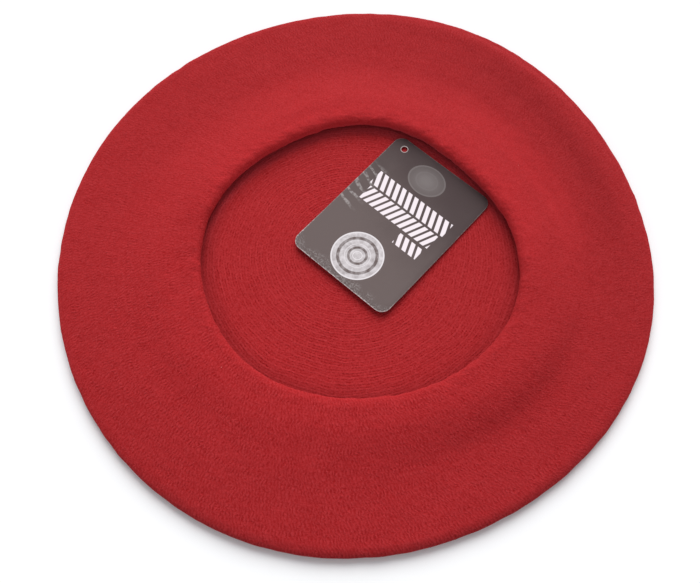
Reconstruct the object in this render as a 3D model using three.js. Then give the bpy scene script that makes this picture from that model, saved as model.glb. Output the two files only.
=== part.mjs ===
// A knitted and felted wool beret lying upside down on its crown, with a loose
// hang tag inside. Millimetres, +Z up. The origin is the centre of the crown's
// flat outer face, on the surface that the beret rests on.
import * as THREE from 'three';
import { mergeVertices } from 'three/addons/utils/BufferGeometryUtils.js';

// ---- driving dimensions -------------------------------------------------
const OUTER_RADIUS = 140.3;      // mean radius of the outer fold
const FELT = 2.4;                // thickness of the felted wool
const FOLD_Z = 3.1;              // height of the widest line of the outer fold
const OPENING_RADIUS = 71.8;     // mean radius of the rolled lip
const OPENING_X = 2.4;           // the opening sits a little off centre
const OPENING_Y = -5.0;
const SEGMENTS = 64;             // around the beret
const GAP = 0.3;                 // clearance between touching pieces

// small waviness of the outer fold and of the lip: [order, cosine, sine] in mm
const FOLD_WAVE = [[2, -0.62, 0.11], [3, -0.14, -0.31], [4, -0.25, -0.83], [5, 0.02, -0.28]];
const LIP_WAVE = [[2, 1.75, -1.22], [3, 0.07, -1.5], [4, 0.52, -0.88], [5, 0.47, 0.38]];

// soft dents and swells of the underside: mm above or below its turned profile,
// one row every 22.5 degrees from +X, one column for each radius
const RELIEF_RADII = [71.8, 80, 86, 92, 98, 105, 112, 120, 128, 134, 137.4];
const RELIEF = [
  [0, 0, -0.5, -1.6, -2.4, -1.9, -1.2, -0.7, 0.5, 0.3, 0],
  [0, 0, -0.8, -2.3, -3, -2, -1.2, -0.7, 1, 0.8, 0],
  [0, 0, -0.4, -1.6, -2.3, -2, -1.2, -0.8, 0.3, 0.9, 0],
  [0, 0, -0.3, -1.3, -1.8, -1.7, -1.2, -0.8, -0.3, 0.3, 0],
  [0, 0, 0, -0.8, -1.1, -1.5, -1.2, -0.8, -0.5, -0.2, 0],
  [0, 0, 0.1, -0.8, -1.4, -1.6, -1.2, -0.8, -0.5, -0.2, 0],
  [0, 0, -0.4, -1.4, -1.7, -1.7, -1.2, -0.7, -0.4, -0.2, 0],
  [0, 0, -0.2, -0.3, -0.4, -0.5, -0.2, -0.1, -0.1, -0.1, 0],
  [-0.1, -0.3, 0.6, 1.4, 1.6, 1.6, 1.6, 1.1, 0.5, 0.2, 0],
  [-0.3, -0.5, 0.4, 1.2, 1.6, 1.9, 2, 1.7, 0.9, 0.2, 0],
  [-0.1, -0.3, 0.1, 0.5, 1, 1.4, 1.7, 1.5, 0.9, 0.3, 0],
  [0, -0.1, 0.2, 0.7, 1.1, 1.6, 1.4, 0.9, 0.5, 0.1, 0],
  [0, 0, 0.3, 0.3, 0.3, 0.2, 0, -0.1, -0.2, -0.3, 0],
  [0, 0, 0.3, 0.1, -0.2, -1.1, -1.1, -0.7, -0.4, -0.3, 0],
  [0, 0, 0.6, 1.1, 1, -0.7, -1.2, -0.7, -0.5, -0.2, 0],
  [0, 0, 0.5, 0.8, 0.3, -1, -1.2, -0.8, -0.4, -0.1, 0],
];

const STALK_LENGTH = 8.8;
const STALK_RADIUS = 0.75;
const POCKET_HEIGHT = 2.05;      // the crown is thinner, and pushed up, over the folded stalk

const HEM_INNER = 75.1;          // radii of the turned edge
const HEM_OUTER = 87.6;
const THREAD_RADIUS = 0.4;
const THREAD_RING = 85.2;

const TAG_WIDTH = 58.0;
const TAG_HEIGHT = 80.0;
const TAG_THICK = 0.5;
const TAG_CORNER = 5.0;
const TAG_HOLE_RADIUS = 1.6;
const TAG_HOLE = [-22.2, 34.8];  // from the tag's centre, +Y towards its top edge
const TAG_CENTRE = [20.07, 13.9, 3.75];
const TAG_TURN = -45.57;         // degrees about Z, from +X to the top edge's direction
const TAG_TILT = 1.1;            // degrees, its lower end rests on the raised middle

// ---- helpers ------------------------------------------------------------
const wave = (table, angle) => {
  let sum = 0;
  for (const [n, c, s] of table) sum += c * Math.cos(n * angle) + s * Math.sin(n * angle);
  return sum;
};

// Height of the dents and swells at a radius and an angle, smooth both ways.
function hermite(p0, p1, m0, m1, t) {
  const t2 = t * t, t3 = t2 * t;
  return (2 * t3 - 3 * t2 + 1) * p0 + (t3 - 2 * t2 + t) * m0 + (-2 * t3 + 3 * t2) * p1 + (t3 - t2) * m1;
}
function reliefRow(row, r) {
  const x = RELIEF_RADII, last = x.length - 1;
  const q = Math.min(x[last], Math.max(x[0], r));
  let i = 0;
  while (i < last - 1 && q > x[i + 1]) i++;
  const slope = (k) => {
    const lo = Math.max(0, k - 1), hi = Math.min(last, k + 1);
    return (row[hi] - row[lo]) / (x[hi] - x[lo]);
  };
  const step = x[i + 1] - x[i];
  return hermite(row[i], row[i + 1], slope(i) * step, slope(i + 1) * step, (q - x[i]) / step);
}
function relief(r, angle) {
  const n = RELIEF.length;
  const turn = (((angle / (2 * Math.PI)) % 1) + 1) % 1 * n;
  const i = Math.floor(turn) % n, t = turn - Math.floor(turn);
  const v = [-1, 0, 1, 2].map((k) => reliefRow(RELIEF[(i + k + n) % n], r));
  return hermite(v[1], v[2], (v[2] - v[0]) / 2, (v[3] - v[1]) / 2, t);
}

// A body with merged corners and its faces pointing out.
function solid(geometry) {
  let g = geometry.index ? geometry : geometry.clone();
  g.deleteAttribute('normal');
  g.deleteAttribute('uv');
  g = mergeVertices(g, 1e-4);
  const p = g.getAttribute('position');
  const index = Array.from(g.index.array);
  const kept = [];
  let volume = 0;
  const a = new THREE.Vector3(), b = new THREE.Vector3(), c = new THREE.Vector3();
  for (let i = 0; i < index.length; i += 3) {
    const [u, v, w] = [index[i], index[i + 1], index[i + 2]];
    if (u === v || v === w || w === u) continue;
    kept.push(u, v, w);
    a.fromBufferAttribute(p, u); b.fromBufferAttribute(p, v); c.fromBufferAttribute(p, w);
    volume += a.dot(b.cross(c));
  }
  if (volume < 0) {
    for (let i = 0; i < kept.length; i += 3) [kept[i + 1], kept[i + 2]] = [kept[i + 2], kept[i + 1]];
  }
  g.setIndex(kept);
  g.computeVertexNormals();
  return g;
}

// A closed profile of [radius, height] turned about Z, then moved point by point.
function turned(profile, move, segments = SEGMENTS) {
  const points = profile.map(([r, z]) => new THREE.Vector2(r, z));
  const g = new THREE.LatheGeometry(points, segments);
  g.rotateX(Math.PI / 2);
  const p = g.getAttribute('position');
  for (let i = 0; i < p.count; i++) {
    const x = p.getX(i), y = p.getY(i), z = p.getZ(i);
    const r = Math.hypot(x, y);
    const angle = Math.atan2(y, x);
    const q = move(r, angle, z);
    p.setXYZ(i, q[0], q[1], q[2]);
  }
  return solid(g);
}

// The felt's own shape: round at the middle, wavy at the fold, and shifted
// with the opening towards the lip.
function feltShape(followsLip) {
  return (r, angle, z) => {
    const outer = Math.min(1, Math.max(0, (r - OPENING_RADIUS) / (OUTER_RADIUS - OPENING_RADIUS)));
    const ease = outer * outer * (3 - 2 * outer);
    const fold = ease * wave(FOLD_WAVE, angle);
    if (!followsLip) return [(r + fold) * Math.cos(angle), (r + fold) * Math.sin(angle), z];
    const lip = (1 - ease) * wave(LIP_WAVE, angle);
    const radius = r + fold + lip;
    return [
      radius * Math.cos(angle) + (1 - ease) * OPENING_X,
      radius * Math.sin(angle) + (1 - ease) * OPENING_Y,
      z + relief(r, angle),
    ];
  };
}

const material = (color, roughness, metalness = 0) =>
  new THREE.MeshStandardMaterial({ color, roughness, metalness });

function piece(name, geometry, mat) {
  const mesh = new THREE.Mesh(geometry, mat);
  mesh.name = name;
  return mesh;
}

// ---- crown --------------------------------------------------------------
const R = OUTER_RADIUS;
const crownProfile = [
  [0, POCKET_HEIGHT + 1.55], [5, POCKET_HEIGHT + 1.5], [8, 3.35], [11, 3.0], [14, 2.65], [18, FELT],
  [70, FELT], [R - 4.6, FELT], [R - 3.0, FELT + 0.15], [R - 2.4, FOLD_Z - GAP / 2],
  [R, FOLD_Z - GAP / 2], [R - 0.35, 1.9], [R - 1.4, 0.85], [R - 3.2, 0.2], [R - 5.5, 0],
  [70, 0], [13, 0], [11.4, 0.5], [9.9, 1.4], [8.8, POCKET_HEIGHT - 0.1], [0, POCKET_HEIGHT],
];
const crown = turned(crownProfile, feltShape(false));

// ---- underside ----------------------------------------------------------
const L = OPENING_RADIUS;
const undersideProfile = [
  [R, FOLD_Z + GAP / 2], [R - 0.45, 4.25], [R - 1.6, 5.0], [R - 3.6, 5.4], [R - 6.3, 5.55], [R - 10.3, 5.7],
  [R - 16.3, 5.9], [R - 22.3, 6.1], [R - 28.3, 6.45], [R - 34.3, 7.05], [R - 40.3, 8.1], [R - 44.3, 9.0],
  [R - 48.3, 9.9], [R - 52.3, 10.6], [L + 12.0, 11.0], [L + 7.5, 11.05], [L + 4.6, 10.8], [L + 2.5, 10.25],
  [L + 1.1, 9.4], [L + 0.3, 8.4], [L, 7.2], [L + 0.4, 5.7], [L + 1.5, 4.7], [L + 2.7, 5.3],
  [L + 2.5, 6.8], [L + 3.3, 7.85], [L + 5.2, 8.45], [L + 8.5, 8.65], [R - 52.3, 8.25], [R - 48.3, 7.5],
  [R - 44.3, 6.6], [R - 40.3, 5.75], [R - 34.3, 4.7], [R - 28.3, 4.05], [R - 22.3, 3.7], [R - 16.3, 3.5],
  [R - 10.3, 3.3], [R - 6.3, 3.15], [R - 4.0, 3.0], [R - 2.4, FOLD_Z + GAP / 2],
];
undersideProfile.push(undersideProfile[0]);
const underside = turned(undersideProfile, feltShape(true));

// ---- turned-in hem and its thread ----------------------------------------
const hemProfile = [
  [HEM_INNER, 5.6], [HEM_INNER - 0.1, 6.6], [75.9, 7.35], [77.6, 7.9], [82.0, 8.1], [HEM_OUTER, 7.65],
  [HEM_OUTER, 6.15], [82.0, 6.6], [79.2, 6.4], [77.8, 5.95], [77.1, 5.35],
];
hemProfile.push(hemProfile[0]);
const hem = turned(hemProfile, feltShape(true));

const follow = feltShape(true);
const threadPoints = [];
const threadSteps = 96;
for (let i = 0; i <= threadSteps; i++) {
  const angle = ((0.6 + (358.8 * i) / threadSteps) * Math.PI) / 180;
  const q = follow(THREAD_RING, angle, 6.0 - THREAD_RADIUS);
  threadPoints.push(new THREE.Vector3(q[0], q[1], q[2]));
}
const threadSection = new THREE.Shape();
for (let i = 0; i < 6; i++) {
  const a = (i * Math.PI) / 3;
  const u = THREAD_RADIUS * Math.cos(a), v = THREAD_RADIUS * Math.sin(a);
  if (i === 0) threadSection.moveTo(u, v); else threadSection.lineTo(u, v);
}
threadSection.closePath();
const hemThread = solid(new THREE.ExtrudeGeometry(threadSection, {
  steps: threadSteps,
  bevelEnabled: false,
  extrudePath: new THREE.CatmullRomCurve3(threadPoints),
}));

// ---- stalk, folded flat under the crown ------------------------------------
const S = STALK_RADIUS;
const stalkGeometry = new THREE.LatheGeometry([
  [0, 0], [0.8 * S, 0.15], [S, 0.7], [0.95 * S, 2.6], [0.88 * S, 5.2],
  [0.95 * S, STALK_LENGTH - 1.4], [0.7 * S, STALK_LENGTH - 0.4], [0, STALK_LENGTH],
].map(([r, y]) => new THREE.Vector2(r, y)), 12);
stalkGeometry.rotateZ(-Math.PI / 2);
stalkGeometry.translate(-1.4, 0, S + 0.2);
const stalk = solid(stalkGeometry);

// ---- hang tag -------------------------------------------------------------
const w = TAG_WIDTH / 2, h = TAG_HEIGHT / 2, c = TAG_CORNER;
const tagShape = new THREE.Shape();
tagShape.moveTo(-w + c, -h);
tagShape.lineTo(w - c, -h);
tagShape.absarc(w - c, -h + c, c, -Math.PI / 2, 0, false);
tagShape.lineTo(w, h - c);
tagShape.absarc(w - c, h - c, c, 0, Math.PI / 2, false);
tagShape.lineTo(-w + c, h);
tagShape.absarc(-w + c, h - c, c, Math.PI / 2, Math.PI, false);
tagShape.lineTo(-w, -h + c);
tagShape.absarc(-w + c, -h + c, c, Math.PI, 1.5 * Math.PI, false);
const tagHole = new THREE.Path();
tagHole.absarc(TAG_HOLE[0], TAG_HOLE[1], TAG_HOLE_RADIUS, 0, 2 * Math.PI, true);
tagShape.holes.push(tagHole);
const tagGeometry = new THREE.ExtrudeGeometry(tagShape, { depth: TAG_THICK, bevelEnabled: false, curveSegments: 8 });
tagGeometry.translate(0, 0, -TAG_THICK / 2);
const tag = solid(tagGeometry);

// ---- assembly -------------------------------------------------------------
const beret = new THREE.Group();
const felt = () => material(0xac282c, 0.95);
beret.add(piece('crown', crown, felt()));
beret.add(piece('underside', underside, felt()));
beret.add(piece('hem', hem, felt()));
beret.add(piece('hem_thread', hemThread, material(0x8c1f27, 0.8)));
beret.add(piece('stalk', stalk, felt()));

const tagMesh = piece('hang_tag', tag, material(0x645c5a, 0.55));
const tagPlace = new THREE.Group();
tagPlace.position.set(...TAG_CENTRE);
tagPlace.rotation.z = (TAG_TURN * Math.PI) / 180;
tagMesh.rotation.x = (-TAG_TILT * Math.PI) / 180;
tagPlace.add(tagMesh);
beret.add(tagPlace);

export default beret;
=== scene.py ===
"""A red knitted and felted wool beret, upside down on its crown, with a loose
punched card tag inside. Lengths in the tables are millimetres; every object is
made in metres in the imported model's own frame."""
import bpy
import math
import numpy as np
from mathutils import Matrix, Vector


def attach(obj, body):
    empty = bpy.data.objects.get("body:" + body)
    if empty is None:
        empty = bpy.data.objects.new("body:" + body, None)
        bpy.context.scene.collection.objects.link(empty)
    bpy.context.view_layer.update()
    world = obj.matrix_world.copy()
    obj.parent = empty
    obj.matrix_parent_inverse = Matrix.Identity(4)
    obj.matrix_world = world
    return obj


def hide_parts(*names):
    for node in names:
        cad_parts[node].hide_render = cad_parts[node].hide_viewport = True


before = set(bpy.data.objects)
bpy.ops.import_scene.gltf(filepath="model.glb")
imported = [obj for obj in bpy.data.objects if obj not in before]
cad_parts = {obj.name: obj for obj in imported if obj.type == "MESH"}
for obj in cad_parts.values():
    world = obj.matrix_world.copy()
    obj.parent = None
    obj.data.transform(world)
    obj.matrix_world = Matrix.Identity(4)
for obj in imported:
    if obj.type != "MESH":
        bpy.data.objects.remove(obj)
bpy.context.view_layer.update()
MM = 0.001
scene = bpy.context.scene
RNG = np.random.default_rng(20)

# ---------------------------------------------------------------- dimensions
OUTER = 140.3
FOLD_Z = 3.1
LIP = 71.8
OPENING = (2.4, -5.0)
FOLD_WAVE = ((2, -0.62, 0.11), (3, -0.14, -0.31), (4, -0.25, -0.83), (5, 0.02, -0.28))
LIP_WAVE = ((2, 1.75, -1.22), (3, 0.07, -1.5), (4, 0.52, -0.88), (5, 0.47, 0.38))
RELIEF_RADII = np.array([71.8, 80, 86, 92, 98, 105, 112, 120, 128, 134, 137.4])
RELIEF = np.array([
    [0, 0, -0.5, -1.6, -2.4, -1.9, -1.2, -0.7, 0.5, 0.3, 0],
    [0, 0, -0.8, -2.3, -3, -2, -1.2, -0.7, 1, 0.8, 0],
    [0, 0, -0.4, -1.6, -2.3, -2, -1.2, -0.8, 0.3, 0.9, 0],
    [0, 0, -0.3, -1.3, -1.8, -1.7, -1.2, -0.8, -0.3, 0.3, 0],
    [0, 0, 0, -0.8, -1.1, -1.5, -1.2, -0.8, -0.5, -0.2, 0],
    [0, 0, 0.1, -0.8, -1.4, -1.6, -1.2, -0.8, -0.5, -0.2, 0],
    [0, 0, -0.4, -1.4, -1.7, -1.7, -1.2, -0.7, -0.4, -0.2, 0],
    [0, 0, -0.2, -0.3, -0.4, -0.5, -0.2, -0.1, -0.1, -0.1, 0],
    [-0.1, -0.3, 0.6, 1.4, 1.6, 1.6, 1.6, 1.1, 0.5, 0.2, 0],
    [-0.3, -0.5, 0.4, 1.2, 1.6, 1.9, 2, 1.7, 0.9, 0.2, 0],
    [-0.1, -0.3, 0.1, 0.5, 1, 1.4, 1.7, 1.5, 0.9, 0.3, 0],
    [0, -0.1, 0.2, 0.7, 1.1, 1.6, 1.4, 0.9, 0.5, 0.1, 0],
    [0, 0, 0.3, 0.3, 0.3, 0.2, 0, -0.1, -0.2, -0.3, 0],
    [0, 0, 0.3, 0.1, -0.2, -1.1, -1.1, -0.7, -0.4, -0.3, 0],
    [0, 0, 0.6, 1.1, 1, -0.7, -1.2, -0.7, -0.5, -0.2, 0],
    [0, 0, 0.5, 0.8, 0.3, -1, -1.2, -0.8, -0.4, -0.1, 0],
])
TAG_SIZE = (58.0, 80.0)
TAG_THICK = 0.5
TAG_CORNER = 5.0
TAG_HOLE = (-22.2, 34.8)
TAG_HOLE_R = 1.6
TAG_CENTRE = (20.07, 13.9, 3.75)
TAG_TURN = -45.57
TAG_TILT = 1.1

# knitting
RING_CENTRE = (-1.2, -0.1)
RING_PITCH = 1.30
WALE = 1.58

# the felt's own unevenness: (bearing, spread, millimetres) that the soft lip stands off its turned line
LIP_SLACK = ((126.0, 26.0, 1.3), (66.0, 42.0, 0.95), (-6.0, 14.0, -0.7))
NICK_TURNS = np.array([19, 23, 26, 31, 37, 41, 46, 52, 59, 63, 71, 78, 86, 95])
NICK_PHASE = RNG.uniform(0, 2 * math.pi, len(NICK_TURNS))
NICK = 0.024

# ---------------------------------------------------------------- helpers


def hermite(p0, p1, m0, m1, t):
    t2, t3 = t * t, t * t * t
    return (2 * t3 - 3 * t2 + 1) * p0 + (t3 - 2 * t2 + t) * m0 + (3 * t2 - 2 * t3) * p1 + (t3 - t2) * m1


def relief(r, angle):
    """Dents and swells of the underside at radius r and angle, both arrays."""
    x = RELIEF_RADII
    n, last = len(RELIEF), len(x) - 1
    slope = np.empty_like(RELIEF)
    for k in range(last + 1):
        lo, hi = max(0, k - 1), min(last, k + 1)
        slope[:, k] = (RELIEF[:, hi] - RELIEF[:, lo]) / (x[hi] - x[lo])
    q = np.clip(r, x[0], x[last])
    i = np.clip(np.searchsorted(x, q, side="left") - 1, 0, last - 1)
    step = x[i + 1] - x[i]
    t = (q - x[i]) / step
    turn = np.mod(angle / (2 * math.pi), 1.0) * n
    j = np.floor(turn).astype(int) % n
    u = turn - np.floor(turn)
    rows = []
    for k in (-1, 0, 1, 2):
        a = (j + k) % n
        rows.append(hermite(RELIEF[a, i], RELIEF[a, i + 1], slope[a, i] * step, slope[a, i + 1] * step, t))
    return hermite(rows[1], rows[2], (rows[2] - rows[0]) / 2, (rows[3] - rows[1]) / 2, u)


def wave(table, angle):
    return sum(c * np.cos(n * angle) + s * np.sin(n * angle) for n, c, s in table)


def slack(angle):
    """How far the lip's edge is eased outwards at a bearing."""
    out = 0.0
    for bearing, spread, amount in LIP_SLACK:
        off = np.mod(np.degrees(angle) - bearing + 180.0, 360.0) - 180.0
        out = out + amount * np.exp(-(off / spread) ** 2)
    return out


def nicks(angle):
    """The small flats and corners of a felted rim."""
    return NICK * sum(np.cos(n * angle + p) for n, p in zip(NICK_TURNS, NICK_PHASE))


def lumps(seed, size, count=26):
    """A smooth, repeatable unevenness in space: features of about size mm, value about -1 to 1."""
    rng = np.random.default_rng(seed)
    d = rng.normal(size=(count, 3))
    d /= np.linalg.norm(d, axis=1)[:, None]
    k = d * (2 * math.pi / (size * rng.uniform(0.75, 1.6, count)))[:, None]
    p = rng.uniform(0, 2 * math.pi, count)

    def value(x, y, z):
        out = np.zeros(np.broadcast(x, y, z).shape)
        for a, b in zip(k, p):
            out += np.cos(a[0] * x + a[1] * y + a[2] * z + b)
        return out / math.sqrt(count)

    return value


def smooth_path(points, step):
    """A centripetal spline through the points, resampled at about step mm (a number, or a function of the point)."""
    p = np.array(points, float)
    p = np.vstack([2 * p[0] - p[1], p, 2 * p[-1] - p[-2]])
    dense = []
    for i in range(1, len(p) - 2):
        p0, p1, p2, p3 = p[i - 1:i + 3]
        t0 = 0.0
        t1 = t0 + np.linalg.norm(p1 - p0) ** 0.5
        t2 = t1 + np.linalg.norm(p2 - p1) ** 0.5
        t3 = t2 + np.linalg.norm(p3 - p2) ** 0.5
        t = np.linspace(t1, t2, 60, endpoint=False)[:, None]
        a1 = (t1 - t) / (t1 - t0) * p0 + (t - t0) / (t1 - t0) * p1
        a2 = (t2 - t) / (t2 - t1) * p1 + (t - t1) / (t2 - t1) * p2
        a3 = (t3 - t) / (t3 - t2) * p2 + (t - t2) / (t3 - t2) * p3
        b1 = (t2 - t) / (t2 - t0) * a1 + (t - t0) / (t2 - t0) * a2
        b2 = (t3 - t) / (t3 - t1) * a2 + (t - t1) / (t3 - t1) * a3
        dense.append((t2 - t) / (t2 - t1) * b1 + (t - t1) / (t2 - t1) * b2)
    dense = np.vstack(dense + [p[-2][None]])
    seg = np.linalg.norm(np.diff(dense, axis=0), axis=1)
    if callable(step):
        mid = (dense[1:] + dense[:-1]) / 2
        weight = np.array([1 / step(m) for m in mid]) * seg
    else:
        weight = seg / step
    total = np.r_[0, np.cumsum(weight)]
    n = max(2, int(round(total[-1])))
    want = np.linspace(0, total[-1], n + 1)
    return np.c_[np.interp(want, total, dense[:, 0]), np.interp(want, total, dense[:, 1])]


def new_object(name, verts_mm, faces, smooth=True):
    me = bpy.data.meshes.new(name)
    verts = np.asarray(verts_mm, np.float64) * MM
    me.from_pydata(verts.tolist(), [], faces if isinstance(faces, list) else faces.tolist())
    me.validate()
    if smooth:
        me.polygons.foreach_set("use_smooth", np.ones(len(me.polygons), bool))
    me.update()
    ob = bpy.data.objects.new(name, me)
    scene.collection.objects.link(ob)
    return ob


def grid_faces(rows, cols, close_rows=False, start=0, flip=False):
    """Quads of a rows x cols grid that closes round its columns."""
    r = np.arange(rows if close_rows else rows - 1)
    c = np.arange(cols)
    R, C = np.meshgrid(r, c, indexing="ij")
    a = start + R * cols + C
    b = start + R * cols + (C + 1) % cols
    d = start + ((R + 1) % rows) * cols + C
    e = start + ((R + 1) % rows) * cols + (C + 1) % cols
    f = np.stack([a, b, e, d], -1).reshape(-1, 4)
    return f[:, ::-1] if flip else f


def put_attribute(ob, name, values):
    at = ob.data.attributes.new(name, "FLOAT_VECTOR", "POINT")
    at.data.foreach_set("vector", np.asarray(values, np.float32).ravel())


def outward(ob):
    """Turns the faces out if the mesh's volume says that they point in."""
    me = ob.data
    me.calc_loop_triangles()
    t = np.empty(len(me.loop_triangles) * 3, np.int32)
    me.loop_triangles.foreach_get("vertices", t)
    v = np.empty(len(me.vertices) * 3)
    me.vertices.foreach_get("co", v)
    v = v.reshape(-1, 3)
    t = t.reshape(-1, 3)
    volume = np.einsum("ij,ij->i", v[t[:, 0]], np.cross(v[t[:, 1]], v[t[:, 2]])).sum()
    if volume < 0:
        me.flip_normals()
    me.update()


# ---------------------------------------------------------------- node helper


class Graph:
    """Short names for the shader maths."""

    def __init__(self, name):
        self.material = bpy.data.materials.new(name)
        self.material.use_nodes = True
        self.nt = self.material.node_tree
        self.nt.nodes.clear()
        self.out = self.nt.nodes.new("ShaderNodeOutputMaterial")
        self.bsdf = self.nt.nodes.new("ShaderNodeBsdfPrincipled")
        self.nt.links.new(self.bsdf.outputs["BSDF"], self.out.inputs["Surface"])

    def node(self, kind, **props):
        n = self.nt.nodes.new(kind)
        for k, v in props.items():
            setattr(n, k, v)
        return n

    def put(self, value, socket):
        if isinstance(value, bpy.types.NodeSocket):
            self.nt.links.new(value, socket)
        else:
            socket.default_value = value

    def math(self, op, *args, clamp=False):
        n = self.node("ShaderNodeMath", operation=op, use_clamp=clamp)
        for i, a in enumerate(args):
            self.put(a, n.inputs[i])
        return n.outputs[0]

    def add(self, a, b): return self.math("ADD", a, b)
    def sub(self, a, b): return self.math("SUBTRACT", a, b)
    def mul(self, a, b): return self.math("MULTIPLY", a, b)
    def div(self, a, b): return self.math("DIVIDE", a, b)
    def lo(self, a, b): return self.math("MINIMUM", a, b)
    def hi(self, a, b): return self.math("MAXIMUM", a, b)
    def floor(self, a): return self.math("FLOOR", a)
    def fract(self, a): return self.math("FRACT", a)
    def abs(self, a): return self.math("ABSOLUTE", a)
    def sin(self, a): return self.math("SINE", a)
    def cos(self, a): return self.math("COSINE", a)

    def step(self, x, low, high, a=0.0, b=1.0):
        """Smooth step from a to b as x goes from low to high."""
        n = self.node("ShaderNodeMapRange", interpolation_type="SMOOTHSTEP")
        self.put(x, n.inputs["Value"])
        n.inputs["From Min"].default_value = low
        n.inputs["From Max"].default_value = high
        n.inputs["To Min"].default_value = a
        n.inputs["To Max"].default_value = b
        return n.outputs["Result"]

    def xyz(self, vector):
        n = self.node("ShaderNodeSeparateXYZ")
        self.put(vector, n.inputs[0])
        return n.outputs[0], n.outputs[1], n.outputs[2]

    def vec(self, x, y, z):
        n = self.node("ShaderNodeCombineXYZ")
        for i, a in enumerate((x, y, z)):
            self.put(a, n.inputs[i])
        return n.outputs[0]

    def scaled(self, vector, by):
        n = self.node("ShaderNodeVectorMath", operation="MULTIPLY")
        self.put(vector, n.inputs[0])
        n.inputs[1].default_value = by
        return n.outputs[0]

    def noise(self, vector, scale, detail=2.0, rough=0.5, distortion=0.0):
        n = self.node("ShaderNodeTexNoise")
        self.put(vector, n.inputs["Vector"])
        n.inputs["Scale"].default_value = scale
        n.inputs["Detail"].default_value = detail
        n.inputs["Roughness"].default_value = rough
        n.inputs["Distortion"].default_value = distortion
        return n.outputs["Fac"]

    def random(self, value):
        n = self.node("ShaderNodeTexWhiteNoise", noise_dimensions="1D")
        self.put(value, n.inputs["W"])
        return n.outputs["Value"]

    def random2(self, a, b):
        n = self.node("ShaderNodeTexWhiteNoise", noise_dimensions="2D")
        self.put(self.vec(a, b, 0.0), n.inputs["Vector"])
        return n.outputs["Value"]

    def mix(self, fac, a, b):
        n = self.node("ShaderNodeMix", data_type="RGBA")
        self.put(fac, n.inputs[0])
        self.put(a, n.inputs[6])
        self.put(b, n.inputs[7])
        return n.outputs[2]

    def ramp(self, fac, stops):
        n = self.node("ShaderNodeValToRGB")
        self.put(fac, n.inputs[0])
        e = n.color_ramp.elements
        while len(e) > len(stops):
            e.remove(e[-1])
        while len(e) < len(stops):
            e.new(1.0)
        for x, (p, c) in zip(e, stops):
            x.position, x.color = p, c
        return n.outputs["Color"]

    def bump(self, height, distance, strength=1.0, normal=None):
        n = self.node("ShaderNodeBump")
        n.inputs["Strength"].default_value = strength
        n.inputs["Distance"].default_value = distance
        self.put(height, n.inputs["Height"])
        if normal is not None:
            self.nt.links.new(normal, n.inputs["Normal"])
        return n.outputs["Normal"]


def rgb(r, g, b):
    """A linear colour from sRGB numbers of 0 to 255."""
    f = lambda c: c / 255 / 12.92 if c / 255 <= 0.04045 else ((c / 255 + 0.055) / 1.055) ** 2.4
    return (f(r), f(g), f(b), 1.0)


# ---------------------------------------------------------------- materials

FELT_LIT = (0.436, 0.0200, 0.0240, 1.0)
FELT_DARK = (0.272, 0.0021, 0.0031, 1.0)
# the next four colours are painted light: a glint on loose fibres, painted shade, a painted highlight, and a pale lift
# painted into deep shadow
FELT_FIBRE_GLINT = (0.600, 0.1200, 0.1300, 1.0)
FELT_PAINTED_SHADE = (0.040, 0.0040, 0.0060, 1.0)
FELT_PAINTED_HIGHLIGHT = (0.800, 0.0400, 0.0480, 1.0)
FELT_PAINTED_SHADOW_LIFT = (0.740, 0.0950, 0.1250, 1.0)


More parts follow.
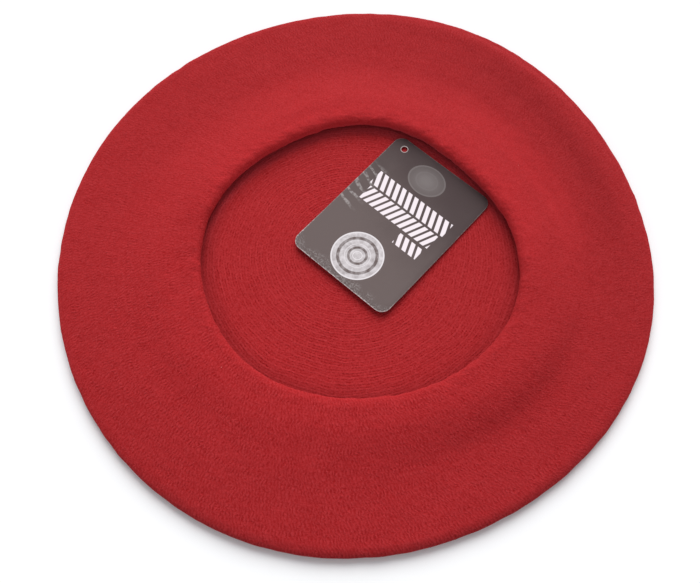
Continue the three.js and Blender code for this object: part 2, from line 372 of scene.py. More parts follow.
def felt(name, stitch, contrast=1.0, nap=1.0):
    """Felted wool over knitting. stitch is purl (rings, seen inside the crown), knit (radial V columns) or plain."""
    g = Graph(name)
    co = g.node("ShaderNodeTexCoord").outputs["Object"]
    mm = g.scaled(co, (1000.0, 1000.0, 1000.0))
    x, y, z = g.xyz(mm)
    fibre = g.noise(mm, 1.5, 3.0, 0.66)
    fine = g.noise(mm, 2.6, 2.0, 0.6)
    tuft = g.noise(mm, 0.85, 2.0, 0.65)
    mottle = g.noise(mm, 0.055, 3.0, 0.55)
    felting = g.noise(mm, 0.16, 2.0, 0.5)
    if stitch == "plain":
        relief_ = g.add(g.mul(fibre, 0.6), g.mul(fine, 0.4))
        shade = g.add(0.45, g.mul(g.sub(fibre, 0.5), 0.9))
    else:
        at = g.node("ShaderNodeAttribute", attribute_name="knit").outputs["Vector"]
        v, c, s = g.xyz(at)
        angle = g.math("ARCTAN2", s, c)
        turn = g.div(angle, 2 * math.pi)
        jog = g.noise(g.scaled(mm, (1.0, 1.0, 0.2)), 0.55, 1.0, 0.5)
        patch = g.step(felting, 0.30, 0.68, 0.55, 1.0)
        if stitch == "purl":
            q = g.add(v, g.mul(g.sub(jog, 0.5), 0.55))
            k = g.floor(q)
            ring = g.add(0.5, g.mul(g.cos(g.mul(q, 2 * math.pi)), 0.5))
            pair = g.cos(g.mul(q, math.pi))
            count = g.floor(g.add(g.mul(k, 2 * math.pi * RING_PITCH / 2.0), 1.0))
            along = g.add(g.add(g.mul(turn, count), g.mul(g.random(k), 9.0)), g.mul(g.sub(jog, 0.5), 1.6))
            cell = g.floor(along)
            bead = g.add(0.5, g.mul(g.cos(g.mul(along, 2 * math.pi)), 0.5))
            weight = g.add(0.45, g.mul(g.random2(cell, k), 0.55))
            groove = g.mul(g.math("POWER", g.sub(1.0, ring), 2.4), g.add(0.22, g.mul(g.mul(bead, weight), 1.42)))
            groove = g.add(groove, g.mul(g.sub(0.0, pair), 0.22))
            worn = g.step(g.noise(g.scaled(mm, (1.0, 1.0, 0.3)), 0.42, 2.0, 0.6), 0.30, 0.66, 0.35, 1.15)
            stitchy = g.sub(0.75, g.mul(g.mul(groove, worn), 0.57))
            stitchy = g.add(0.62, g.mul(g.sub(stitchy, 0.62), patch))
        else:
            # leaning strokes in columns; the number of columns changes a few times between fold and lip, as knitting does
            band = g.floor(g.add(g.div(v, 10.0), g.mul(g.sub(g.noise(mm, 0.14, 1.0), 0.5), 1.8)))
            r_mid = g.math("SUBTRACT", 139.0, g.mul(band, 9.6))
            count = g.floor(g.div(g.mul(r_mid, 2 * math.pi), WALE))
            warp = g.add(g.mul(g.sub(jog, 0.5), 0.9), g.mul(g.sub(tuft, 0.5), 1.1))
            a = g.add(g.mul(turn, count), warp)
            lean = g.mul(v, 0.31)
            lean = g.add(lean, g.add(g.mul(g.sub(g.noise(mm, 0.05, 1.0), 0.5), 3.0), g.mul(g.sub(g.noise(mm, 0.32, 1.0), 0.5), 1.6)))
            s1 = g.cos(g.mul(g.add(a, lean), 2 * math.pi))
            s2 = g.cos(g.mul(g.sub(a, g.mul(v, 0.11)), 2 * math.pi))
            s3 = g.cos(g.mul(a, 2 * math.pi))
            s4 = g.cos(g.mul(g.add(g.mul(v, 0.42), g.mul(g.sub(jog, 0.5), 2.0)), 2 * math.pi))
            total = g.add(g.mul(s1, 0.40), g.add(g.mul(s2, 0.20), g.add(g.mul(s3, 0.20), g.mul(s4, 0.14))))
            stitchy = g.add(0.62, g.mul(total, 0.55))
            # clearest on the near side, brushed over by the nap on the far side
            facing = g.cos(g.sub(angle, math.radians(240.0)))
            side = g.math("MULTIPLY_ADD", facing, 0.42, 0.60)
            side = g.add(side, g.mul(g.step(v, 22.0, 42.0, 0.44, 0.0), g.step(facing, -0.9, -0.2, 1.0, 0.0)))
            patch = g.mul(patch, side)
            stitchy = g.add(g.mul(g.sub(stitchy, 0.62), patch), 0.62)
        relief_ = g.add(g.mul(stitchy, 0.8), g.add(g.mul(fibre, 0.55 * nap), g.mul(fine, 0.35 * nap)))
        grain = 1.34 if stitch == "purl" else 1.08
        shade = g.add(g.mul(stitchy, 0.80 * contrast), g.mul(g.sub(fibre, 0.5), 1.35 * contrast * grain))
        shade = g.add(shade, g.mul(g.sub(fine, 0.5), 0.66 * contrast * grain))
        shade = g.add(shade, g.mul(g.sub(tuft, 0.5), 0.70 * contrast))
    shade = g.add(shade, g.mul(g.sub(mottle, 0.5), 0.16))
    body = g.mix(g.math("MULTIPLY_ADD", shade, 1.0, 0.08, clamp=True), FELT_DARK, FELT_LIT)
    # loose fibres catch the light on the raised wool
    # painted highlight: a pale glint painted on the fibres where the texture is lightest
    body = g.mix(g.math("MULTIPLY_ADD", shade, 0.125, -0.030, clamp=True), body, FELT_FIBRE_GLINT)
    # painted shade: the felt is painted a little darker toward +X, where less light falls, and close in under the lip
    # (further down)
    body = g.mix(g.step(x, -30.0, 125.0, 0.0, 0.095), body, FELT_PAINTED_SHADE)
    if stitch == "knit":
        # painted shade: darker over the outer underside toward the fold, and along the near rim, which faces away from
        # the key light
        body = g.mix(g.step(v, 15.0, 52.0, 0.055, 0.0), body, FELT_PAINTED_SHADE)
        body = g.mix(g.mul(g.step(v, 0.5, 7.5, 0.24, 0.0), g.step(s, -0.95, -0.45, 1.0, 0.0)), body, FELT_PAINTED_SHADE)
        # painted light and shade on the far right: a painted highlight on the crest and painted shade in the valley
        right_far = g.step(g.add(g.mul(c, 0.882), g.mul(s, 0.471)), 0.80, 0.97, 0.0, 1.0)
        valley_shade = g.mul(g.step(v, 8.0, 15.0, 0.0, 0.070), g.step(v, 22.0, 32.0, 1.0, 0.0))
        body = g.mix(g.mul(valley_shade, right_far), body, FELT_PAINTED_SHADE)
        crest_highlight = g.mul(g.step(v, 30.0, 38.0, 0.0, 0.095), g.step(v, 43.0, 52.0, 1.0, 0.0))
        body = g.mix(g.mul(crest_highlight, right_far), body, FELT_PAINTED_HIGHLIGHT)
        # painted highlight: the lip is painted paler on the side toward the key light, as backlit fuzz would look, and
        # its inner face there gets a pale lift painted into its shade
        toward_key = g.mul(g.step(g.cos(g.sub(angle, math.radians(72.0))), 0.0, 0.45), g.step(z, 3.5, 6.5))
        body = g.mix(g.mul(g.step(v, 49.0, 69.0, 0.0, 0.19), toward_key), body, FELT_PAINTED_HIGHLIGHT)
        body = g.mix(g.mul(g.step(v, 70.0, 75.0, 0.0, 0.50), toward_key), body, FELT_PAINTED_SHADOW_LIFT)
    if stitch == "purl":
        # painted shade on the crown floor close in under the lip, and a pale lift painted into the deepest shadow
        # under the far lip
        under_lip_shade, far, _ = g.xyz(g.node("ShaderNodeAttribute", attribute_name="under_lip_shade").outputs["Vector"])
        body = g.mix(g.mul(under_lip_shade, 0.17), body, FELT_PAINTED_SHADE)
        body = g.mix(g.mul(far, 0.17), body, FELT_PAINTED_SHADOW_LIFT)
    # a few pale specks of lint
    cells = g.node("ShaderNodeTexVoronoi", feature="F1")
    g.put(mm, cells.inputs["Vector"])
    cells.inputs["Scale"].default_value = 0.06
    cells.inputs["Randomness"].default_value = 1.0
    speck = g.step(cells.outputs["Distance"], 0.007, 0.014, 1.0, 0.0)
    chance, _, _ = g.xyz(cells.outputs["Color"])
    speck = g.mul(speck, g.step(chance, 0.40, 0.45, 1.0, 0.0))
    body = g.mix(g.mul(speck, 0.6), body, rgb(222, 150, 146))
    g.put(body, g.bsdf.inputs["Base Color"])
    rough = g.step(fibre, 0.25, 0.75, 0.86, 0.98)
    g.put(rough, g.bsdf.inputs["Roughness"])
    g.bsdf.inputs["Specular IOR Level"].default_value = 0.18
    g.bsdf.inputs["Subsurface Weight"].default_value = 0.22
    g.bsdf.inputs["Subsurface Radius"].default_value = (1.0, 0.35, 0.30)
    g.bsdf.inputs["Subsurface Scale"].default_value = 0.0022
    g.bsdf.inputs["Sheen Weight"].default_value = 0.20
    g.bsdf.inputs["Sheen Roughness"].default_value = 0.55
    g.bsdf.inputs["Sheen Tint"].default_value = (1.0, 0.07, 0.08, 1.0)
    g.put(g.bump(relief_, 0.00042, 0.75), g.bsdf.inputs["Normal"])
    return g.material


def thread_material():
    g = Graph("hem_thread_twist")
    co = g.node("ShaderNodeTexCoord").outputs["Object"]
    mm = g.scaled(co, (1000.0, 1000.0, 1000.0))
    x, y, z = g.xyz(mm)
    turn = g.math("ARCTAN2", y, x)
    twist = g.sin(g.add(g.mul(turn, 900.0), g.mul(z, 9.0)))
    fuzz = g.noise(mm, 6.0, 2.0)
    shade = g.add(g.mul(twist, 0.25), g.mul(fuzz, 0.9))
    g.put(g.mix(g.step(shade, 0.1, 0.9), rgb(104, 18, 24), rgb(176, 48, 50)), g.bsdf.inputs["Base Color"])
    g.put(g.step(fuzz, 0.3, 0.7, 0.65, 0.85), g.bsdf.inputs["Roughness"])
    g.bsdf.inputs["Sheen Weight"].default_value = 0.2
    g.put(g.bump(shade, 0.00012, 0.6), g.bsdf.inputs["Normal"])
    return g.material


def tag_face_material():
    """Printed card: a warm grey ground with a plain generic ornament, no lettering."""
    g = Graph("tag_print")
    co = g.node("ShaderNodeTexCoord").outputs["Object"]
    mm = g.scaled(co, (1000.0, 1000.0, 1000.0))
    x, y, z = g.xyz(mm)
    grain = g.noise(mm, 3.2, 3.0, 0.6)
    cloud = g.noise(mm, 0.09, 3.0, 0.5)

    def box(cx, cy, w, h, soft=0.12, px=None, py=None):
        a = g.sub(g.abs(g.sub(px if px is not None else x, cx)), w / 2)
        b = g.sub(g.abs(g.sub(py if py is not None else y, cy)), h / 2)
        return g.step(g.hi(a, b), -soft, soft, 1.0, 0.0)

    def radius(cx, cy, sx=1.0, sy=1.0):
        a = g.div(g.sub(x, cx), sx)
        b = g.div(g.sub(y, cy), sy)
        return g.math("SQRT", g.add(g.mul(a, a), g.mul(b, b))), g.math("ARCTAN2", b, a)

    def ring(d, r, w, soft=0.12):
        return g.step(g.abs(g.sub(d, r)), w / 2 - soft, w / 2 + soft, 1.0, 0.0)

    # three bands of slanted blocks, like a rope border
    def rope(cy, x0, x1, h, pitch, width, slant):
        s = g.add(x, g.mul(g.sub(y, cy), slant))
        f = g.abs(g.sub(g.fract(g.div(g.sub(s, x0), pitch)), 0.5))
        bars = g.step(f, width / 2 / pitch - 0.03, width / 2 / pitch + 0.03, 1.0, 0.0)
        return g.mul(bars, box((x0 + x1) / 2, cy, x1 - x0, h))

    white = g.hi(rope(13.6, -22.6, 23.0, 8.4, 3.80, 2.35, 0.42), rope(4.0, -21.0, 21.6, 8.4, 3.55, 2.25, -0.42))
    white = g.hi(white, rope(-5.2, 7.0, 21.0, 6.4, 3.80, 2.35, 0.42))

    # a round of plain rings
    d, _ = radius(-0.4, -24.6)
    disc = g.step(d, 12.0, 12.5, 1.0, 0.0)
    slots = ring(d, 9.3, 1.5)
    inner = ring(d, 4.3, 1.2)
    rim = ring(d, 12.4, 0.7)
    rim = g.hi(rim, g.hi(ring(d, 6.2, 0.35), ring(d, 2.2, 0.45)))
    tone = g.add(0.52, g.mul(g.sub(g.noise(mm, 0.35, 3.0, 0.6), 0.5), 0.9))
    tone = g.sub(tone, g.mul(g.hi(slots, inner), 0.42))
    pale = g.mul(disc, tone)
    pale = g.hi(pale, g.mul(rim, 0.78))

    # a faint oval emblem above and soft slanting stripes at the left
    d2, a2 = radius(-2.2, 28.2, 1.0, 0.80)
    oval = g.mul(g.step(d2, 9.2, 9.6, 1.0, 0.0), g.step(d2, 1.0, 9.6, 0.30, 0.16))
    oval = g.hi(oval, g.mul(ring(d2, 9.6, 0.9), 0.26))
    oval = g.hi(oval, g.mul(g.step(g.abs(g.sub(d2, 5.6)), 0.35, 0.8, 1.0, 0.0), 0.26))
    s = g.add(g.mul(y, 1.0), g.mul(x, 0.30))
    stripe = g.step(g.abs(g.sub(g.fract(g.div(g.add(s, g.mul(g.sub(cloud, 0.5), 5.0)), 5.2)), 0.5)), 0.10, 0.20, 1.0, 0.0)
    stripe = g.mul(stripe, g.mul(g.step(x, -24.0, -16.0, 1.0, 0.0), g.mul(g.step(y, -9.0, -6.0), g.step(y, 17.0, 21.0, 1.0, 0.0))))
    stripe = g.mul(stripe, g.step(g.noise(mm, 0.8, 2.0), 0.35, 0.65, 0.05, 0.42))

    # mottled, rubbed print along the lower edge, and bare card at the worn edges
    low = g.step(g.add(y, g.mul(g.sub(g.noise(mm, 0.16, 2.0), 0.5), 14.0)), -38.5, -34.5, 1.0, 0.0)
    rubbed = g.mul(low, g.step(g.noise(mm, 1.3, 3.0, 0.7), 0.46, 0.62, 0.0, 0.40))
    qx = g.sub(g.abs(x), TAG_SIZE[0] / 2 - TAG_CORNER)
    qy = g.sub(g.abs(y), TAG_SIZE[1] / 2 - TAG_CORNER)
    ox, oy = g.hi(qx, 0.0), g.hi(qy, 0.0)
    edge = g.sub(TAG_CORNER, g.add(g.math("SQRT", g.add(g.mul(ox, ox), g.mul(oy, oy))), g.lo(g.hi(qx, qy), 0.0)))
    # edge is the distance in from the card's outline
    frayed = g.add(edge, g.mul(g.sub(g.noise(mm, 1.1, 3.0, 0.7), 0.5), 1.5))
    lower_left = g.hi(g.step(y, -39.0, -30.0, 1.0, 0.0), g.mul(g.step(x, -28.0, -24.0, 1.0, 0.0), g.step(y, -34.0, -16.0, 0.85, 0.12)))
    worn = g.mul(g.step(frayed, 0.05, 0.42, 1.0, 0.0), g.add(0.12, g.mul(lower_left, 0.8)))
    hx, hy = g.sub(x, TAG_HOLE[0]), g.sub(y, TAG_HOLE[1])
    hole = g.math("SQRT", g.add(g.mul(hx, hx), g.mul(hy, hy)))
    worn = g.hi(worn, g.step(g.add(hole, g.mul(g.sub(grain, 0.5), 0.5)), 1.75, 2.05, 0.85, 0.0))

    # painted shade: the ground is painted darker toward the card's upper end, which lies close in under the lip,
    # broken up by cloudy tone and the card's grain
    slope = g.step(g.add(g.add(y, g.mul(x, 0.35)), g.mul(g.sub(cloud, 0.5), 22.0)), -22.0, 40.0)
    slope = g.add(slope, g.mul(g.sub(grain, 0.5), 0.25))
    ground = g.mix(slope, rgb(103, 90, 88), rgb(72, 59, 59))
    col = g.mix(oval, ground, rgb(176, 170, 168))
    col = g.mix(stripe, col, rgb(196, 190, 188))
    col = g.mix(rubbed, col, rgb(178, 172, 170))
    col = g.mix(pale, col, rgb(246, 240, 242))
    edge_of_white = g.mul(white, g.step(grain, 0.18, 0.34, 0.72, 1.0))
    col = g.mix(edge_of_white, col, rgb(238, 227, 231))
    col = g.mix(worn, col, rgb(214, 202, 200))
    g.put(col, g.bsdf.inputs["Base Color"])
    g.put(g.add(0.58, g.mul(grain, 0.22)), g.bsdf.inputs["Roughness"])
    g.bsdf.inputs["Specular IOR Level"].default_value = 0.16
    height = g.add(g.mul(grain, 0.5), g.mul(worn, -0.5))
    g.put(g.bump(height, 0.00006, 0.5), g.bsdf.inputs["Normal"])
    return g.material


def tag_core_material():
    g = Graph("tag_core")
    co = g.node("ShaderNodeTexCoord").outputs["Object"]
    mm = g.scaled(co, (1000.0, 1000.0, 1000.0))
    pulp = g.noise(mm, 2.6, 4.0, 0.65)
    layers = g.noise(g.scaled(co, (600.0, 600.0, 9000.0)), 1.0, 2.0)
    g.put(g.mix(g.add(g.mul(pulp, 0.6), g.mul(layers, 0.4)), rgb(176, 164, 158), rgb(226, 217, 212)), g.bsdf.inputs["Base Color"])
    g.put(g.step(pulp, 0.3, 0.7, 0.72, 0.88), g.bsdf.inputs["Roughness"])
    g.put(g.bump(pulp, 0.00008, 0.5), g.bsdf.inputs["Normal"])
    return g.material


# ---------------------------------------------------------------- felt shells

soft_wide = lumps(3, 46.0)
soft_mid = lumps(4, 13.0)
soft_fine = lumps(5, 4.2)
wobble = lumps(6, 30.0)
wobble_fine = lumps(7, 9.0)
nap = lumps(8, 1.9, 40)


def follow(r, angle, z, lip=True):
    """The felt's own shape from its turned profile: wavy at the fold, shifted with the opening towards the lip."""
    outer = np.clip((r - LIP) / (OUTER - LIP), 0, 1)
    ease = outer * outer * (3 - 2 * outer)
    fold = ease * wave(FOLD_WAVE, angle) + nicks(angle) * np.exp(-((OUTER - r) / 2.6) ** 2)
    if not lip:
        return (r + fold) * np.cos(angle), (r + fold) * np.sin(angle), z
    near = 1 - np.clip((r - LIP) / 14.0, 0, 1)
    rad = r + fold + (1 - ease) * wave(LIP_WAVE, angle) + slack(angle) * near * near * (3 - 2 * near)
    return (rad * np.cos(angle) + (1 - ease) * OPENING[0],
            rad * np.sin(angle) + (1 - ease) * OPENING[1],
            z + relief(r, angle))


def felt_noise(x, y, z, amount=1.0):
    return amount * (0.10 * soft_mid(x, y, z) + 0.055 * soft_fine(x, y, z))


# ---- underside: from the fold over the rim and lip, and back inside
COLS = 720
outer_line = smooth_path(
    [(140.3, 3.1), (140.2, 3.7), (139.8, 4.3), (138.8, 4.92), (136.8, 5.38), (134.0, 5.55), (130.0, 5.7), (124.0, 5.9),
     (118.0, 6.1), (112.0, 6.45), (106.0, 7.05), (100.0, 8.1), (96.0, 9.0), (92.0, 9.9), (88.0, 10.6), (83.8, 11.0),
     (79.3, 11.1), (76.5, 11.0), (74.6, 10.65), (73.2, 9.95), (72.3, 8.95), (71.8, 7.5), (72.1, 5.9), (73.3, 4.7)],
    lambda p: 0.9 if p[0] > 79 and p[0] < 136 else 0.38)
inner_line = smooth_path(
    [(73.3, 4.7), (74.5, 5.3), (74.3, 6.8), (75.1, 7.85), (77.0, 8.45), (80.3, 8.65), (88.0, 8.25), (92.0, 7.5), (96.0, 6.6),
     (100.0, 5.75), (106.0, 4.7), (112.0, 4.05), (118.0, 3.7), (124.0, 3.5), (130.0, 3.3), (134.0, 3.15), (136.3, 3.05), (137.9, 3.1)],
    2.6)
line = np.vstack([outer_line, inner_line[1:]])
n_outer = len(outer_line)
theta = np.arange(COLS) / COLS * 2 * math.pi
Rg, Tg = np.meshgrid(line[:, 0], theta, indexing="ij")
Zg = np.repeat(line[:, 1][:, None], COLS, 1)
X, Y, Z = follow(Rg, Tg, Zg)
# felt unevenness along the surface normal, none at the fold line so that the two panels meet exactly
d = np.gradient(line, axis=0)
d /= np.linalg.norm(d, axis=1)[:, None]
normal = np.c_[-d[:, 1], d[:, 0]] * -1.0   # outwards from the felt for the outer side
rows_from_fold = np.arange(len(line))
fade = np.clip(rows_from_fold / 6.0, 0, 1) * np.clip((len(line) - 1 - rows_from_fold) / 3.0, 0, 1)
bumpy = felt_noise(X, Y, Z) * fade[:, None]
lip_swell = (0.16 * wobble_fine(X, Y, 0 * Z) + 0.05 * soft_fine(X, Y, 0 * Z)) * np.exp(-((Rg - 74.0) / 4.0) ** 2)
edge_nap = 0.075 * nap(X, Y, Z) * (np.exp(-((Rg - 74.0) / 4.0) ** 2) + 0.8 * np.exp(-((Rg - 140.3) / 2.5) ** 2))
push = bumpy + lip_swell + edge_nap * fade[:, None]
X = X + normal[:, 0][:, None] * np.cos(Tg) * push
Y = Y + normal[:, 0][:, None] * np.sin(Tg) * push
Z = Z + normal[:, 1][:, None] * push
verts = np.stack([X, Y, Z], -1).reshape(-1, 3)
underside = new_object("underside_felt", verts, grid_faces(len(line), COLS, close_rows=True))
seg = np.r_[0, np.cumsum(np.linalg.norm(np.diff(line, axis=0), axis=1))]
put_attribute(underside, "knit", np.stack([np.repeat(seg[:, None], COLS, 1), np.cos(Tg), np.sin(Tg)], -1))
outward(underside)

# ---- crown: bottom face, outer wall, and the ringed inner face
CCOLS = 288
bottom_line = smooth_path([(0.0, 2.05), (4.0, 2.05), (8.8, 1.95), (9.9, 1.4), (11.4, 0.5), (13.0, 0.05), (16.0, 0.0), (70.0, 0.0),
                           (130.0, 0.0), (134.6, 0.03), (137.1, 0.25), (138.9, 0.9), (139.95, 1.9), (140.3, 3.1)],
                          lambda p: 0.55 if p[0] > 132 else (0.9 if p[0] < 20 else 5.0))
bottom_line = bottom_line[1:]
wall_line = smooth_path([(137.9, 3.1), (137.35, 2.6), (135.7, 2.4), (130.0, 2.4)], 0.9)
mid_line = smooth_path([(130.0, 2.4), (82.0, 2.4)], 3.5)[1:]
ring_r = np.arange(80 * 4, 2, -1) / 4.0 * RING_PITCH      # four rows to a knitted ring
ring_r = ring_r[ring_r < 81.0]


def crown_top(r):
    """Height of the inner face, raised over the folded stalk."""
    t = np.clip((r - 5.0) / 13.0, 0, 1)
    return 2.4 + 1.1 * (1 - t * t * (3 - 2 * t))


top_line = np.c_[ring_r, crown_top(ring_r)]
line = np.vstack([bottom_line, wall_line, mid_line, top_line])
n_bottom = len(bottom_line)
n_plain = len(bottom_line) + len(wall_line) + len(mid_line)
theta = np.arange(CCOLS) / CCOLS * 2 * math.pi
Rg, Tg = np.meshgrid(line[:, 0], theta, indexing="ij")
Zg = np.repeat(line[:, 1][:, None], CCOLS, 1)
X, Y, Z = follow(Rg, Tg, Zg, lip=False)
top = np.arange(len(line)) >= n_bottom + len(wall_line)
ringed = np.arange(len(line)) >= n_plain
ring_q = np.where(ringed, line[:, 0] / RING_PITCH, 0.0)
# the rings wander a little, and their centre is a little off the middle
wander = 0.55 * wobble(X, Y, 0 * X) + 0.22 * wobble_fine(X, Y, 0 * X)
keep = np.clip((81.0 - Rg) / 4.0, 0, 1) * np.clip(Rg / 10.0, 0, 1) * ringed[:, None]
X = X + keep * (RING_CENTRE[0] + wander * np.cos(Tg))
Y = Y + keep * (RING_CENTRE[1] + wander * np.sin(Tg))
strength = 0.011 * (0.8 + 0.4 * soft_mid(X, Y, 0 * X)) * (1 + 0.45 * np.cos(math.pi * ring_q))[:, None]
Z = Z + keep * strength * np.cos(2 * math.pi * ring_q)[:, None]
calm = top[:, None] * np.clip((120 - Rg) / 25.0, 0, 1)
Z = Z + calm * (0.14 * soft_wide(X, Y, 0 * X) + 0.06 * soft_mid(X, Y, 0 * X) + 0.04 * soft_fine(X, Y, 0 * X))
verts = np.stack([X, Y, Z], -1).reshape(-1, 3)
faces = grid_faces(len(line), CCOLS).tolist()
last = (len(line) - 1) * CCOLS
centre_low = len(verts)
centre_high = centre_low + 1
top_centre = verts[last:last + CCOLS].mean(0)
verts = np.vstack([verts, [[0, 0, 2.05]], [top_centre]])
for i in range(CCOLS):
    j = (i + 1) % CCOLS
    faces.append((centre_low, j, i))
    faces.append((last + i, last + j, centre_high))
crown = new_object("crown_felt", verts, faces)
# masks for painted shade on the part of the floor that lies close in under the lip, out of the key light's reach, and
# for a pale lift painted into the deepest shadow under the far lip
ax, ay = verts[:, 0] - OPENING[0], verts[:, 1] - OPENING[1]
bearing = np.arctan2(ay, ax)
gap = LIP + wave(LIP_WAVE, bearing) + slack(bearing) - np.hypot(ax, ay)
close_in = np.clip((10.0 - gap) / 8.0, 0, 1)
shaded = np.clip((0.55 - np.sin(bearing)) / 0.5, 0, 1)
under_lip_shade = close_in * close_in * (3 - 2 * close_in) * shaded * shaded * (3 - 2 * shaded)
under_lip_shade *= 1 - 0.45 * np.clip(np.cos(bearing) + 0.2, 0, 1)
tucked = np.clip((5.0 - gap) / 5.0, 0, 1)
far_side = np.clip((np.cos(bearing - math.radians(88.0)) - 0.1) / 0.4, 0, 1)
put_attribute(crown, "under_lip_shade", np.stack([under_lip_shade, tucked * tucked * (3 - 2 * tucked) * far_side, 0 * under_lip_shade], -1))
outside = np.arange(len(line)) < n_bottom + len(wall_line)      # counted in from the fold, as on the underside
course = np.where(outside, OUTER - line[:, 0], line[:, 0] / RING_PITCH)
knit = np.stack([np.repeat(course[:, None], CCOLS, 1), np.cos(Tg), np.sin(Tg)], -1).reshape(-1, 3)
knit = np.vstack([knit, [[0, 1, 0], [0, 1, 0]]])
put_attribute(crown, "knit", knit)
outward(crown)

# ---- turned hem under the lip
hem_line = smooth_path([(75.1, 5.7), (75.0, 6.6), (75.9, 7.3), (77.6, 7.8), (82.0, 8.0), (87.2, 7.6), (87.6, 6.95), (87.3, 6.25),
                        (82.0, 6.65), (79.2, 6.45), (77.8, 6.0), (77.1, 5.45), (76.1, 5.3), (75.1, 5.7)], 0.75)[:-1]
HCOLS = 480
theta = np.arange(HCOLS) / HCOLS * 2 * math.pi
Rg, Tg = np.meshgrid(hem_line[:, 0], theta, indexing="ij")
X, Y, Z = follow(Rg, Tg, np.repeat(hem_line[:, 1][:, None], HCOLS, 1))
Z = Z - 0.10 * np.abs(soft_fine(X, Y, Z)) - 0.12 * (1 + np.cos(132 * Tg)) * np.exp(-((Rg - 85.0) / 1.3) ** 2) * -0.5
verts = np.stack([X, Y, Z], -1).reshape(-1, 3)
hem = new_object("hem_felt", verts, grid_faces(len(hem_line), HCOLS, close_rows=True))
put_attribute(hem, "knit", np.stack([Rg, np.cos(Tg), np.sin(Tg)], -1))
outward(hem)

# ---- running stitch: the thread dips in and out of the hem's inner face
STITCHES, PER = 132, 10
n = STITCHES * PER
t = np.arange(n) / n * 2 * math.pi
lift = np.tanh(2.2 * np.sin(STITCHES * t)) * 0.34
cx, cy, cz = follow(np.full(n, 85.0), t, np.full(n, 6.2) + lift)
cz = cz - 0.28
path = np.stack([cx, cy, cz], -1)
tangent = np.roll(path, -1, 0) - np.roll(path, 1, 0)
tangent /= np.linalg.norm(tangent, axis=1)[:, None]
up = np.array([0, 0, 1.0])
side = np.cross(tangent, up)
side /= np.linalg.norm(side, axis=1)[:, None]
over = np.cross(side, tangent)
SIDES = 8
a = np.arange(SIDES) / SIDES * 2 * math.pi
ringv = path[:, None, :] + 0.30 * (np.cos(a)[None, :, None] * side[:, None, :] + np.sin(a)[None, :, None] * over[:, None, :])
thread = new_object("hem_running_stitch", ringv.reshape(-1, 3), grid_faces(n, SIDES, close_rows=True))
outward(thread)

# ---- stalk, folded flat in its dimple
SC, SR = 40, 56
s = np.linspace(0, 1, SR)
prof = 0.74 * np.sqrt(np.clip(1 - (2 * s - 1) ** 14, 0, 1)) * (1.0 + 0.10 * np.cos(s * 7.0) - 0.06 * s)
prof[0] = prof[-1] = 0.02
axis_x = -1.4 + s * 8.8
a = np.arange(SC) / SC * 2 * math.pi
S, A = np.meshgrid(s, a, indexing="ij")
P = np.repeat(prof[:, None], SC, 1) * (1 + 0.07 * np.sin(3 * A + 9 * S) + 0.05 * np.sin(5 * A - 17 * S))
sx = np.repeat(axis_x[:, None], SC, 1)
sy = P * np.cos(A) + 0.25 * np.sin(2.6 * S)
sz = np.clip(0.95 + P * np.sin(A), 0.18, 1.75)
verts = np.stack([sx, sy, sz], -1).reshape(-1, 3)
faces = grid_faces(SR, SC).tolist()
faces.append(tuple(range(SC)))
faces.append(tuple(range((SR - 1) * SC, SR * SC))[::-1])
stalk = new_object("stalk_felt", verts, faces)
outward(stalk)

# ---------------------------------------------------------------- hang tag


def rounded_outline(w, h, c, spacing):
    """Points round a rounded rectangle, evenly spaced."""
    pts = []
    for cx, cy, a0 in ((w / 2 - c, -h / 2 + c, -90), (w / 2 - c, h / 2 - c, 0), (-w / 2 + c, h / 2 - c, 90), (-w / 2 + c, -h / 2 + c, 180)):
        for k in range(25):
            a = math.radians(a0 + 90 * k / 24)
            pts.append((cx + c * math.cos(a), cy + c * math.sin(a)))
    p = np.array(pts + [pts[0]])
    L = np.r_[0, np.cumsum(np.linalg.norm(np.diff(p, axis=0), axis=1))]
    n = int(round(L[-1] / spacing))
    w_ = np.linspace(0, L[-1], n, endpoint=False)
    return np.c_[np.interp(w_, L, p[:, 0]), np.interp(w_, L, p[:, 1])]


full = rounded_outline(TAG_SIZE[0], TAG_SIZE[1], TAG_CORNER, 0.9)
NT = len(full)
hole_c = np.array(TAG_HOLE)
direction = full - hole_c
bearing = np.arctan2(direction[:, 1], direction[:, 0])
hole_rim = hole_c + TAG_HOLE_R * np.c_[np.cos(bearing), np.sin(bearing)]
unit = direction / np.linalg.norm(direction, axis=1)[:, None]
# outline's own normals, for a small rounded edge
tan = np.roll(full, -1, 0) - np.roll(full, 1, 0)
tan /= np.linalg.norm(tan, axis=1)[:, None]
nrm = np.c_[tan[:, 1], -tan[:, 0]]
BEVEL = 0.09
half = TAG_THICK / 2
rows = []          # each row: (xy, z)
def add_row(xy, z): rows.append(np.c_[xy, np.full(len(xy), z)])
add_row(hole_rim, -half + BEVEL)
add_row(hole_rim, half - BEVEL)
add_row(hole_rim + unit * BEVEL * 0.35, half - BEVEL * 0.25)
grow = np.linspace(0, 1, 30) ** 1.5
inner_edge = hole_rim + unit * BEVEL
outer_edge = full - nrm * BEVEL
top_rows = [inner_edge * (1 - k) + outer_edge * k for k in grow]
for xy in top_rows:
    add_row(xy, half)
add_row(full - nrm * BEVEL * 0.3, half - BEVEL * 0.3)
add_row(full, half - BEVEL)
add_row(full, -half + BEVEL)
add_row(full - nrm * BEVEL * 0.3, -half + BEVEL * 0.3)
for xy in reversed(top_rows):
    add_row(xy, -half)
add_row(hole_rim + unit * BEVEL * 0.35, -half + BEVEL * 0.25)
P = np.array(rows)
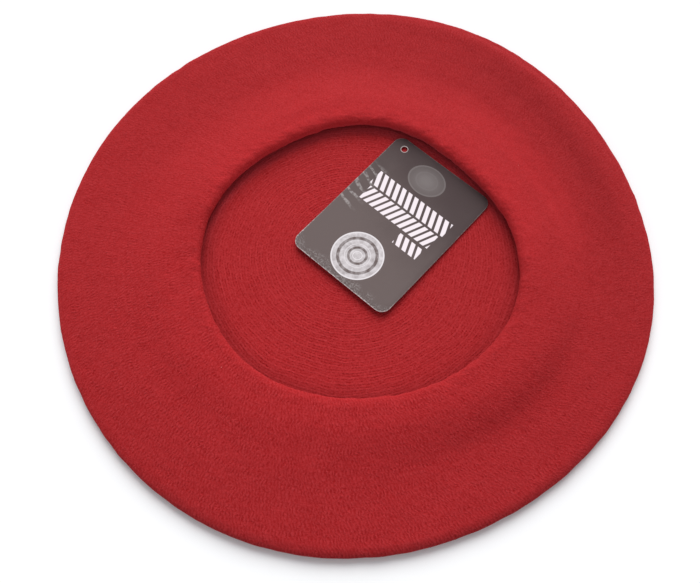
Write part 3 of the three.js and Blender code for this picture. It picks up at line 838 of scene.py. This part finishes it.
# the card is very slightly bowed
bow = 0.35 * (P[..., 1] / 40) ** 2 + 0.22 * (P[..., 0] / 29) ** 2 - 0.12 * (P[..., 0] / 29) * (P[..., 1] / 40)
P[..., 2] += bow - 0.10
tag = new_object("tag_card", P.reshape(-1, 3), grid_faces(len(rows), NT, close_rows=True))
outward(tag)
place = (Matrix.Translation(Vector(TAG_CENTRE) * MM)
         @ Matrix.Rotation(math.radians(TAG_TURN), 4, "Z") @ Matrix.Rotation(math.radians(-TAG_TILT), 4, "X"))
tag.matrix_world = place
tag.data.materials.append(tag_face_material())
tag.data.materials.append(tag_core_material())
first_top = 3
last_top = 3 + len(top_rows)
which = np.ones(len(tag.data.polygons), np.int32)
row_of = np.arange(len(which)) // NT
which[(row_of >= first_top - 1) & (row_of <= last_top)] = 0
tag.data.polygons.foreach_set("material_index", which)

# ---------------------------------------------------------------- finish the pieces
mat_purl = felt("felt_purl_side", "purl")
mat_knit = felt("felt_knit_side", "knit")
mat_plain = felt("felt_plain", "plain")
crown.data.materials.append(mat_purl)
crown.data.materials.append(mat_knit)
which = np.zeros(len(crown.data.polygons), np.int32)
row_of = np.arange(len(which)) // CCOLS
which[row_of < n_bottom + 2] = 1
which[-2 * CCOLS::2] = 1
crown.data.polygons.foreach_set("material_index", which)
underside.data.materials.append(mat_knit)
hem.data.materials.append(mat_plain)
stalk.data.materials.append(mat_plain)
thread.data.materials.append(thread_material())

for piece, node, body, slot in ((crown, "crown", "beret_body", "felt"), (underside, "underside", "beret_body", "felt"),
                                (hem, "hem", "beret_body", "felt"), (thread, "hem_thread", "beret_body", "thread"),
                                (stalk, "stalk", "beret_body", "felt"), (tag, "hang_tag", "tag_body", "tag_card")):
    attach(piece, body)
    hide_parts(node)

# ---------------------------------------------------------------- studio
size = 12.0
m = 24
gx = np.linspace(-size, size, m + 1)
V = [(x, y, 0.0) for y in gx for x in gx]
F = [(j * (m + 1) + i, j * (m + 1) + i + 1, (j + 1) * (m + 1) + i + 1, (j + 1) * (m + 1) + i) for j in range(m) for i in range(m)]
me = bpy.data.meshes.new("studio_floor")
me.from_pydata(V, [], F)
floor = bpy.data.objects.new("studio_floor", me)
floor.location.z = -0.00005
scene.collection.objects.link(floor)
g = Graph("floor_paper")
co = g.node("ShaderNodeTexCoord").outputs["Object"]
g.put(g.mix(g.noise(co, 3.0, 2.0), (0.90, 0.90, 0.90, 1), (0.93, 0.93, 0.93, 1)), g.bsdf.inputs["Base Color"])
g.bsdf.inputs["Roughness"].default_value = 0.9
g.bsdf.inputs["Specular IOR Level"].default_value = 0.1
me.materials.append(g.material)

KEY_AZIMUTH, KEY_ZENITH = 80.0, 47.5
sun = bpy.data.lights.new("key", "SUN")
sun.energy = 2.95
sun.angle = math.radians(54)
sun_ob = bpy.data.objects.new("key", sun)
a, zen = math.radians(KEY_AZIMUTH), math.radians(KEY_ZENITH)
to_sun = Vector((math.cos(a) * math.sin(zen), math.sin(a) * math.sin(zen), math.cos(zen)))
sun_ob.rotation_euler = to_sun.to_track_quat("Z", "Y").to_euler()
sun_ob.location = to_sun
scene.collection.objects.link(sun_ob)

world = bpy.data.worlds.new("studio")
scene.world = world
world.use_nodes = True
nt = world.node_tree
nt.nodes.clear()
out = nt.nodes.new("ShaderNodeOutputWorld")
light = nt.nodes.new("ShaderNodeBackground")
light.inputs["Color"].default_value = (0.98, 1.0, 1.04, 1)
light.inputs["Strength"].default_value = 0.50
seen = nt.nodes.new("ShaderNodeBackground")
seen.inputs["Color"].default_value = (0.98, 0.98, 0.98, 1)
seen.inputs["Strength"].default_value = 1.0
path_ = nt.nodes.new("ShaderNodeLightPath")
mixer = nt.nodes.new("ShaderNodeMixShader")
nt.links.new(path_.outputs["Is Camera Ray"], mixer.inputs[0])
nt.links.new(light.outputs[0], mixer.inputs[1])
nt.links.new(seen.outputs[0], mixer.inputs[2])
nt.links.new(mixer.outputs[0], out.inputs["Surface"])

scene.view_settings.view_transform = "Standard"
scene.view_settings.look = "None"

# ---------------------------------------------------------------- camera
CAM_ELEVATION, CAM_DISTANCE, CAM_ROLL, CAM_F = 66.3, 430.0, 3.9, 918.77
CAM_TARGET = (-2.398, -19.202, 0.0)
cam = bpy.data.cameras.new("camera")
cam.sensor_width = 36.0
cam.lens = CAM_F / 700 * 36.0
cam.clip_start, cam.clip_end = 0.01, 100
cam_ob = bpy.data.objects.new("camera", cam)
e = math.radians(CAM_ELEVATION)
back = Vector((0, -math.cos(e), math.sin(e)))
quat = (-back).to_track_quat("-Z", "Y")
cam_ob.rotation_mode = "QUATERNION"
cam_ob.rotation_quaternion = quat @ Matrix.Rotation(math.radians(-CAM_ROLL), 4, "Z").to_quaternion()
cam_ob.location = Vector(CAM_TARGET) * MM + back * CAM_DISTANCE * MM
scene.collection.objects.link(cam_ob)
scene.camera = cam_ob
